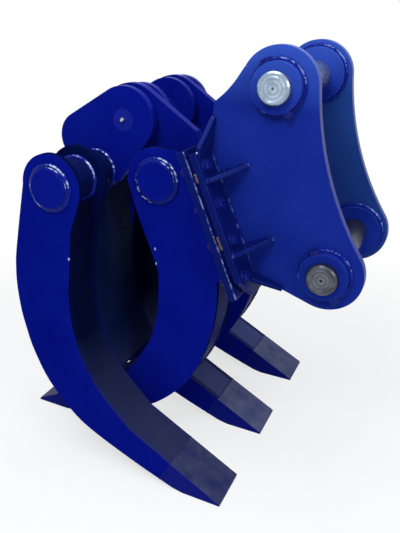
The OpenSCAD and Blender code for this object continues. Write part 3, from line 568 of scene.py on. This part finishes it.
def weldMaterial(name, settings):
    material, tree, shader, coords = newMaterial(name)
    at = coords.outputs["Object"]
    facing = split(tree, coords.outputs["Normal"])
    outward = times(tree, mathNode(tree, "ABSOLUTE", facing["Y"]), weldGrain["outward"])
    flanks = []
    for alongX, alongZ in (weldGrain["upper"], weldGrain["lower"]):
        across = timesPlus(tree, facing["X"], alongX, outward)
        flanks.append(ramp(tree, timesPlus(tree, facing["Z"], alongZ, across), *settings["flankRange"]))
    caught = mathNode(tree, "MAXIMUM", *flanks)
    broken = noise(tree, at, settings["scale"], *weldGrain["broken"])
    glint = times(tree, caught, ramp(tree, broken, *weldGrain["brokenRange"]))
    smear = ramp(tree, noise(tree, at, *weldGrain["smear"]), *weldGrain["smearRange"])
    tone = mix(tree, smear, settings["color"], settings["thin"])
    tone = mix(tree, times(tree, glint, settings["share"]), tone, settings["glint"])
    link(tree, tone, shader.inputs["Base Color"])
    rough = timesPlus(tree, smear, weldGrain["smearRough"], settings["roughness"])
    link(tree, rough, shader.inputs["Roughness"])
    shader.inputs["Specular IOR Level"].default_value = settings["shine"]
    shader.inputs["Specular Tint"].default_value = settings["tint"]
    pits = noise(tree, at, *weldGrain["pits"])
    link(tree, bump(tree, pits, *weldGrain["pitBump"]), shader.inputs["Normal"])
    return material


tubeWeldPaintSettings = {
    "color": (0.0022, 0.0065, 0.150, 1), "thin": (0.0060, 0.0140, 0.230, 1),
    "glint": (0.62, 0.72, 0.95, 1), "flankRange": (0.88, 0.985), "scale": 60.0, "share": 0.90,
    "shine": 0.12, "roughness": 0.10, "tint": (0.45, 0.62, 1.0, 1),
}
collarWeldPaintSettings = {**tubeWeldPaintSettings, "glint": (0.22, 0.32, 0.70, 1), "share": 0.75}
grooveWeldPaintSettings = {
    "color": (0.0022, 0.0065, 0.110, 1), "thin": (0.0080, 0.0160, 0.200, 1),
    "glint": (0.26, 0.31, 0.56, 1), "flankRange": (0.30, 0.75), "scale": 75.0, "share": 0.55,
    "shine": 0.05, "roughness": 0.22, "tint": (0.45, 0.62, 1.0, 1),
}
headWeldPaintSettings = {
    "color": (0.0018, 0.0055, 0.105, 1), "thin": (0.0040, 0.0110, 0.170, 1),
    "glint": (0.10, 0.16, 0.46, 1), "flankRange": (0.80, 0.98), "scale": 70.0, "share": 0.60,
    "shine": 0.02, "roughness": 0.30, "tint": (0.30, 0.45, 1.0, 1),
}
stopWeldPaintSettings = {
    "color": (0.0050, 0.0120, 0.170, 1), "thin": (0.0140, 0.0260, 0.260, 1),
    "glint": (0.50, 0.58, 0.85, 1), "flankRange": (0.10, 0.60), "scale": 48.0, "share": 0.85,
    "shine": 0.16, "roughness": 0.10, "tint": (0.70, 0.85, 1.0, 1),
}
sheetWeldPaintSettings = {
    "color": (0.0030, 0.0060, 0.060, 1), "thin": (0.0060, 0.0110, 0.090, 1),
    "glint": (0.060, 0.062, 0.12, 1), "flankRange": (0.60, 0.98), "scale": 40.0, "share": 0.70,
    "shine": 0.0, "roughness": 0.40, "tint": (0.30, 0.45, 1.0, 1),
}
tubeWeldPaint = weldMaterial("weldPaint", tubeWeldPaintSettings)
grooveWeldPaint = weldMaterial("weldBright", grooveWeldPaintSettings)
headWeldPaint = weldMaterial("weldDim", headWeldPaintSettings)
stopWeldPaint = weldMaterial("weldStop", stopWeldPaintSettings)
collarWeldPaint = weldMaterial("weldSoft", collarWeldPaintSettings)
sheetWeldPaint = weldMaterial("weldSheet", sheetWeldPaintSettings)

nodeMaterials = {  # by a node's whole name, or else by its last word
    "tip": tipPaint, "face": shadedInnerPaint, "infill": shadedSheetPaint, "back": shadedBackPaint, "sides": sidePaint,
    "flange": shadedJointPaint, "packer": shadedJointPaint, "gussets": shadedJointPaint, "head_base": shadedJointPaint,
    "moving_mid_tip": litTipPaint, "moving_far_tip": litTipPaint,
    "moving_mid_face": litInnerPaint, "moving_far_face": litInnerPaint,
    "moving_torque_tube": shadedTubePaint, "fixed_torque_tube": shadedTubePaint,
    "hitch_pin_upper": upperSteel, "hitch_pin_lower": lowerSteel, "pivot_pins": pivotSteel,
    "grease_nipples": zinc, "pivot_bushes": bronze, "thrust_washers": bronze,
    "flange_bolts": boltPaint, "flange_nuts": boltPaint, "flange_washers": boltPaint,
    "pin_lock_bolts": boltPaint, "pin_lock_nuts": boltPaint,
    "ear_near": headPaint, "ear_far": farEarPaintedLight, "pin_collars": headPaint, "ear_inner_bosses": headPaint,
}
for name, obj in frame["nodes"].items():
    material = nodeMaterials.get(name) or nodeMaterials.get(name.split("_")[-1]) or jawPaint
    if not obj.data.materials:
        obj.data.materials.append(material)
    for index in range(len(obj.data.materials)):
        obj.data.materials[index] = material
print("materials assigned")


# shared modelling steps
def deselectAll():
    bpy.ops.object.select_all(action="DESELECT")


def pick(piece):
    deselectAll()
    piece.select_set(True)
    bpy.context.view_layer.objects.active = piece


def settle(piece):  # the place goes into the mesh and the object to the origin
    pick(piece)
    bpy.ops.object.transform_apply(location=True, rotation=True, scale=True)


def copyPiece(piece, move):  # the copy has its own mesh
    pick(piece)
    bpy.ops.object.duplicate(linked=False)
    bpy.ops.transform.translate(value=move)
    copied = bpy.context.object
    settle(copied)
    return copied


def joinPieces(pieces):
    deselectAll()
    for piece in pieces:
        piece.select_set(True)
    bpy.context.view_layer.objects.active = pieces[0]
    bpy.ops.object.join()
    return bpy.context.view_layer.objects.active


def finishWelds(beads, name, body, material):
    piece = joinPieces(beads)
    piece.name = name
    bpy.ops.object.shade_smooth()
    piece.data.materials.clear()
    piece.data.materials.append(material)
    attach(piece, body)


beadSettings = {
    "sides": 8,
    "rise": 0.20,  # of the bead's radius, out of the corner that it fills
    "toe": 0.35,  # how far the outer edge is drawn out
    "toeFrom": 0.9,  # of the bead's radius, where that edge begins
    "ripple": 0.75,
    "rippleSize": 0.0065,
    "rippleDepth": 2,
    "ringStep": 0.0035,
    "fewestRingSteps": 64,
    "lineStep": 0.0045,
    "fewestLineCuts": 3,
    "lengthwise": 0.9,  # of the bead's length, which only its long edges reach
}
rippleTexture = bpy.data.textures.new("weldRipples", "CLOUDS")
rippleTexture.noise_scale = beadSettings["rippleSize"]
rippleTexture.noise_depth = beadSettings["rippleDepth"]


def roughen(piece, bead):
    ripple = piece.modifiers.new("ripples", "DISPLACE")
    ripple.texture = rippleTexture
    ripple.texture_coords = "LOCAL"
    ripple.strength = bead * beadSettings["ripple"]
    pick(piece)
    bpy.ops.object.modifier_apply(modifier=ripple.name)


def ringBead(centre, y, radius, bead):  # round a tube or pin, in the corner of a plate face
    steps = int(radius * 2 * math.pi / beadSettings["ringStep"])
    deselectAll()
    bpy.ops.mesh.primitive_torus_add(
        location=(centre[0], y, centre[1]), rotation=(math.pi / 2, 0, 0),
        major_radius=radius + bead * beadSettings["rise"], minor_radius=bead,
        major_segments=max(beadSettings["fewestRingSteps"], steps), minor_segments=beadSettings["sides"])
    piece = bpy.context.object
    settle(piece)
    bpy.ops.object.mode_set(mode="EDIT")
    bpy.ops.mesh.select_all(action="DESELECT")
    mesh = bmesh.from_edit_mesh(piece.data)
    toe = radius + bead * beadSettings["toeFrom"]
    for vertex in mesh.verts:  # the outermost loops, so that the bead flattens towards its toe
        vertex.select = math.hypot(vertex.co.x - centre[0], vertex.co.z - centre[1]) > toe
    bmesh.update_edit_mesh(piece.data)
    spread = 1 + bead * beadSettings["toe"] / radius
    bpy.ops.transform.resize(value=(spread, 1, spread), center_override=(centre[0], y, centre[1]))
    bpy.ops.object.mode_set(mode="OBJECT")
    roughen(piece, bead)
    return piece


def lineBead(start, end, bead):
    start, end = Vector(start), Vector(end)
    along = end - start
    cuts = int(along.length / beadSettings["lineStep"])
    deselectAll()
    bpy.ops.mesh.primitive_cylinder_add(
        vertices=beadSettings["sides"], radius=bead, depth=along.length, end_fill_type="TRIFAN",
        location=(start + end) / 2, rotation=along.to_track_quat("Z", "Y").to_euler())
    piece = bpy.context.object
    bpy.ops.object.mode_set(mode="EDIT")
    bpy.ops.mesh.select_all(action="DESELECT")
    mesh = bmesh.from_edit_mesh(piece.data)
    for edge in mesh.edges:
        a, b = edge.verts
        edge.select = abs(a.co.z - b.co.z) > along.length * beadSettings["lengthwise"]
    bmesh.update_edit_mesh(piece.data)
    bpy.ops.mesh.subdivide(number_cuts=max(beadSettings["fewestLineCuts"], cuts))
    bpy.ops.object.mode_set(mode="OBJECT")
    settle(piece)
    roughen(piece, bead)
    return piece


def ringBeads(centre, radius, bead, faces):  # faces: the y of each plate face, and the way it looks
    spots = [y + way * bead * beadSettings["rise"] for y, way in faces]
    first = ringBead(centre, spots[0], radius, bead)
    return [first] + [copyPiece(first, (0, spot - spots[0], 0)) for spot in spots[1:]]


def lineBeads(start, end, bead, moves):
    first = lineBead(start, end, bead)
    return [first] + [copyPiece(first, move) for move in moves]


def bothSides(y, way):
    return [(-y, -way), (y, way)]


def tineFaces(middles):
    faces = []
    for middle in middles:
        faces += [(middle + y, way) for y, way in bothSides(tineHalf, 1) + bothSides(tineHalf - plate, -1)]
    return faces


# weld rings of the moving jaw
movingRingSettings = {
    "tine": 0.0060, "cap": 0.0034, "link": 0.0056,
    "capY": sideFaces("moving_torque_tube")[1], "capR": tubeR - 0.004,
}
rings = ringBeads(movingTube, tubeR, movingRingSettings["tine"], tineFaces(movingMiddles))
finishWelds(rings, "movingTubeWelds", movingBody, tubeWeldPaint)
rings = ringBeads(movingTube, movingRingSettings["capR"], movingRingSettings["cap"],
                  bothSides(movingRingSettings["capY"], 1))
linkFaces = []
for node in ("link_inner_far", "link_outer_far"):
    inner, outer = sideFaces(node)
    linkFaces += bothSides(inner, -1) + bothSides(outer, 1)
rings += ringBeads(movingTube, tubeR, movingRingSettings["link"], linkFaces)
finishWelds(rings, "linkPlateWelds", movingBody, tubeWeldPaint)

# weld rings of the fixed jaw
fixedRingSettings = {
    "tine": 0.0060, "cap": 0.0034, "lug": 0.0056, "bossR": 0.056,
    "capY": sideFaces("fixed_torque_tube")[1], "capR": tubeR - 0.004,
}
rings = ringBeads(fixedTube, tubeR, fixedRingSettings["tine"], tineFaces(fixedMiddles))
finishWelds(rings, "fixedTubeWelds", fixedBody, tubeWeldPaint)
rings = ringBeads(fixedTube, fixedRingSettings["capR"], fixedRingSettings["cap"],
                  bothSides(fixedRingSettings["capY"], 1))
rings += ringBeads(fixedTube, tubeR, fixedRingSettings["lug"], bothSides(lugOut, 1))
rings += ringBeads(pivot, fixedRingSettings["bossR"], fixedRingSettings["lug"],
                   bothSides(lugOut, 1) + bothSides(lugIn, -1))
finishWelds(rings, "lugWelds", fixedBody, tubeWeldPaint)

# weld rings round the collars and inner bosses of the head
collarSettings = {"collar": 0.0058, "collarR": 0.062, "boss": 0.0056, "bossR": 0.078}
rings = []
for centre in (upperPin, lowerPin):
    rings += ringBeads(centre, collarSettings["collarR"], collarSettings["collar"], bothSides(earOut, 1))
    rings += ringBeads(centre, collarSettings["bossR"], collarSettings["boss"], bothSides(earIn, -1))
finishWelds(rings, "collarWelds", fixedBody, collarWeldPaint)
print("weld rings made")


# straight welds of the head, in its own leaning directions
def headPoint(n, y, s):
    x, z = leaned(n, s)
    return x, y, z


def headBeads(start, end, bead, heights=(0,)):  # at each height, and again across the middle plane
    across = -(start[1] + end[1])
    moves = []
    for height in heights:
        x, z = leaned(0, height)
        moves += [(x, 0, z), (x, across, z)]
    return lineBeads(headPoint(*start), headPoint(*end), bead, moves[1:])


# feet of the ears, then the side gussets
footSettings = {"low": 0.484, "high": 0.838, "bead": 0.0055}
gussetSettings = {"half": 0.005, "from": 0.210, "to": 0.290, "near": 0.004, "far": 0.082, "bead": 0.0040}
lines = []
for y in (earOut, earIn):
    lines += headBeads((faceN, y, footSettings["low"]), (faceN, y, footSettings["high"]),
                       footSettings["bead"])
low = gussetHeight - gussetSettings["half"]
thick = 2 * gussetSettings["half"]
heights = (0, thick, -gussetPitch, thick - gussetPitch)
lines += headBeads((faceN, gussetSettings["from"], low), (faceN, gussetSettings["to"], low),
                   gussetSettings["bead"], heights)
near, far = faceN + gussetSettings["near"], faceN + gussetSettings["far"]
lines += headBeads((near, earOut, low), (far, earOut, low), gussetSettings["bead"], heights)
finishWelds(lines, "headWelds", fixedBody, headWeldPaint)

# tines and lugs against the back of the flange
flangeSettings = {"tineLow": 0.505, "tineHigh": 0.840, "lugLow": 0.705, "lugHigh": 0.850, "bead": 0.0050}
lines = []
for y in sideFaces("fixed_far_sides"):
    lines += headBeads((flangeN, y, flangeSettings["tineLow"]), (flangeN, y, flangeSettings["tineHigh"]),
                       flangeSettings["bead"])
lines += headBeads((flangeN, lugOut, flangeSettings["lugLow"]), (flangeN, lugOut, flangeSettings["lugHigh"]),
                   flangeSettings["bead"])
finishWelds(lines, "flangeWelds", fixedBody, headWeldPaint)

# bead along the flange's edge, beside the groove; its bright glints paint a highlight along that edge
grooveSettings = {"n": grooveN + 0.0010, "y": 0.2985, "low": 0.4495, "high": 0.8535, "bead": 0.0022}
n, y = grooveSettings["n"], grooveSettings["y"]
lines = headBeads((n, y, grooveSettings["low"]), (n, y, grooveSettings["high"]), grooveSettings["bead"])
finishWelds(lines, "grooveWelds", fixedBody, grooveWeldPaint)

# bright stops of the gusset welds, and one at the top of the flange; their brightness is a painted highlight
stopSettings = {  # n, y, s, half its length, bead
    "outer": (faceN + 0.083, 0.209, gussetHeight, 0.004, 0.0062),
    "inner": (faceN + 0.003, 0.292, gussetHeight, 0.003, 0.0050),
    "top": (faceN, 0.288, 0.840, 0.002, 0.0055),
}
lines = []
for name, (n, y, s, half, bead) in stopSettings.items():
    heights = (0,) if name == "top" else (0, -gussetPitch)
    lines += headBeads((n, y, s - half), (n, y, s + half), bead, heights)
finishWelds(lines, "weldStops", fixedBody, stopWeldPaint)

# short bare welds in the groove beside the packer
stitchSettings = {"n": baseN - 0.0070, "y": 0.290, "runs": ((0.768, 0.792), (0.585, 0.622)), "bead": 0.0050}
n, y = stitchSettings["n"], stitchSettings["y"]
lines = []
for low, high in stitchSettings["runs"]:
    lines += headBeads((n, y, low), (n, y, high), stitchSettings["bead"])
finishWelds(lines, "flangeStitches", fixedBody, bareWeld)
print("straight welds made")

# welds between the tine plates and the tip blocks, from top to foot
seamSettings = {"top": (0.2252, 0.0866), "foot": (0.1896, 0.0200), "bead": 0.0018}  # past midX, and up
for way, body, middles, name in ((-1, movingBody, movingMiddles, "movingTipWelds"),
                                 (1, fixedBody, fixedMiddles, "fixedTipWelds")):
    topX, topZ = midX - way * seamSettings["top"][0], seamSettings["top"][1]
    footX, footZ = midX - way * seamSettings["foot"][0], seamSettings["foot"][1]
    near = middles[0] - tineHalf
    flanks = [middle + side * tineHalf for middle in middles for side in (-1, 1)]
    lines = lineBeads((topX, near, topZ), (footX, near, footZ), seamSettings["bead"],
                      [(0, y - near, 0) for y in flanks[1:]])
    lines += lineBeads((topX, near, topZ), (topX, near + 2 * tineHalf, topZ), seamSettings["bead"],
                       [(0, middle - middles[0], 0) for middle in middles[1:]])
    finishWelds(lines, name, body, tipPaint)

# beads along the lower ends of the sheets between the tines
sheetWeldSettings = {"x": -0.156, "z": 0.259, "half": 0.105, "bead": 0.0055}
x, z, half = sheetWeldSettings["x"], sheetWeldSettings["z"], sheetWeldSettings["half"]
middle = -tinePitch / 2
lines = lineBeads((x, middle - half, z), (x, middle + half, z), sheetWeldSettings["bead"],
                  [(0, tinePitch, 0)])
finishWelds(lines, "sheetWelds", movingBody, sheetWeldPaint)

# beads across the upper ends of the gripping faces
faceWeldSettings = {"x": -0.2275, "z": 0.801, "half": 0.052, "bead": 0.0040}
x, z, half = faceWeldSettings["x"], faceWeldSettings["z"], faceWeldSettings["half"]
lines = lineBeads((x, -tinePitch - half, z), (x, -tinePitch + half, z), faceWeldSettings["bead"],
                  [(0, tinePitch, 0), (0, 2 * tinePitch, 0)])
finishWelds(lines, "faceWelds", movingBody, tubeWeldPaint)

# tacks on the tines' inner edges, each as (x, y, z), painted bright as highlights
tackSettings = {
    "half": 0.0036, "bead": 0.0026,
    "moving": ((-0.2250, 0.413, 0.652), (-0.2290, 0.279, 0.801)),
    "fixed": ((-0.0530, 0.240, 0.654), (-0.0500, 0.240, 0.609)),
}
half = tackSettings["half"]
for body, name in ((movingBody, "moving"), (fixedBody, "fixed")):
    lines = []
    for x, y, z in tackSettings[name]:
        lines += lineBeads((x, y, z - half), (x, y, z + half), tackSettings["bead"], [(0, -2 * y, 0)])
    finishWelds(lines, name + "Tacks", body, stopWeldPaint)
print("jaw welds made")

# floor and world; white is mixed in for rays from the camera, from gloss and through glass
white = (1, 1, 1, 1)


def seenRays(tree):
    path = tree.nodes.new("ShaderNodeLightPath")
    beyond = mathNode(tree, "MAXIMUM", path.outputs["Is Glossy Ray"], path.outputs["Is Transmission Ray"])
    return mathNode(tree, "MAXIMUM", path.outputs["Is Camera Ray"], beyond)


def whiteNode(tree, kind):
    made = tree.nodes.new(kind)
    made.inputs["Color"].default_value = white
    made.inputs["Strength"].default_value = 1.0
    return made


def blendShaders(tree, share, first, second, out):
    blend = tree.nodes.new("ShaderNodeMixShader")
    link(tree, share, blend.inputs[0])
    link(tree, first.outputs[0], blend.inputs[1])
    link(tree, second.outputs[0], blend.inputs[2])
    link(tree, blend.outputs[0], out.inputs[0])


floorSettings = {
    "color": (0.82, 0.82, 0.82, 1), "roughness": 0.9, "shine": 0.1, "size": 30.0,
    "near": 0.70, "from": 0.75, "to": 1.9,  # share of white near the grapple, and where it rises to all
}
deselectAll()
bpy.ops.mesh.primitive_plane_add(size=floorSettings["size"], location=(0, 0, 0))
floor = bpy.context.object
floor.name = "floor"
floorMaterial, tree, shader, coords = newMaterial("floor")
shader.inputs["Base Color"].default_value = floorSettings["color"]
shader.inputs["Roughness"].default_value = floorSettings["roughness"]
shader.inputs["Specular IOR Level"].default_value = floorSettings["shine"]
far = tree.nodes.new("ShaderNodeVectorMath")
far.operation = "LENGTH"
link(tree, coords.outputs["Object"], far.inputs[0])
rise = tree.nodes.new("ShaderNodeMapRange")
rise.interpolation_type = "SMOOTHSTEP"
rise.inputs["From Min"].default_value = floorSettings["from"]
rise.inputs["From Max"].default_value = floorSettings["to"]
rise.inputs["To Min"].default_value = floorSettings["near"]
rise.inputs["To Max"].default_value = 1.0
link(tree, far.outputs["Value"], rise.inputs["Value"])
out = next(n for n in tree.nodes if n.type == "OUTPUT_MATERIAL")
share = times(tree, seenRays(tree), rise.outputs["Result"])
blendShaders(tree, share, shader, whiteNode(tree, "ShaderNodeEmission"), out)
floor.data.materials.append(floorMaterial)

worldSettings = {"color": (0.80, 0.86, 1.0, 1), "strength": 0.38}
world = bpy.data.worlds.new("world")
bpy.context.scene.world = world
world.use_nodes = True
tree = world.node_tree
tree.nodes.clear()
out = tree.nodes.new("ShaderNodeOutputWorld")
sky = tree.nodes.new("ShaderNodeBackground")
sky.inputs["Color"].default_value = worldSettings["color"]
sky.inputs["Strength"].default_value = worldSettings["strength"]
blendShaders(tree, seenRays(tree), sky, whiteNode(tree, "ShaderNodeBackground"), out)

lampSettings = {  # place, aim, size, watts
    "key": ((0.05, -1.80, 2.45), (-0.02, 0.0, 0.85), 0.7, 27.0),
    "top": ((-0.3, -0.2, 3.4), (0.0, 0.0, 0.4), 2.0, 56.0),
    "right": ((2.6, -1.5, 2.0), (0.2, 0.0, 0.3), 1.2, 38.0),
}
for name, (place, aim, size, watts) in lampSettings.items():
    data = bpy.data.lights.new(name, "AREA")
    data.shape = "SQUARE"
    data.size = size
    data.energy = watts
    lamp = bpy.data.objects.new(name, data)
    lamp.location = place
    lamp.rotation_euler = (Vector(aim) - Vector(place)).to_track_quat("-Z", "Y").to_euler()
    bpy.context.scene.collection.objects.link(lamp)
bpy.context.scene.view_settings.view_transform = "Standard"
print("stage and light set")
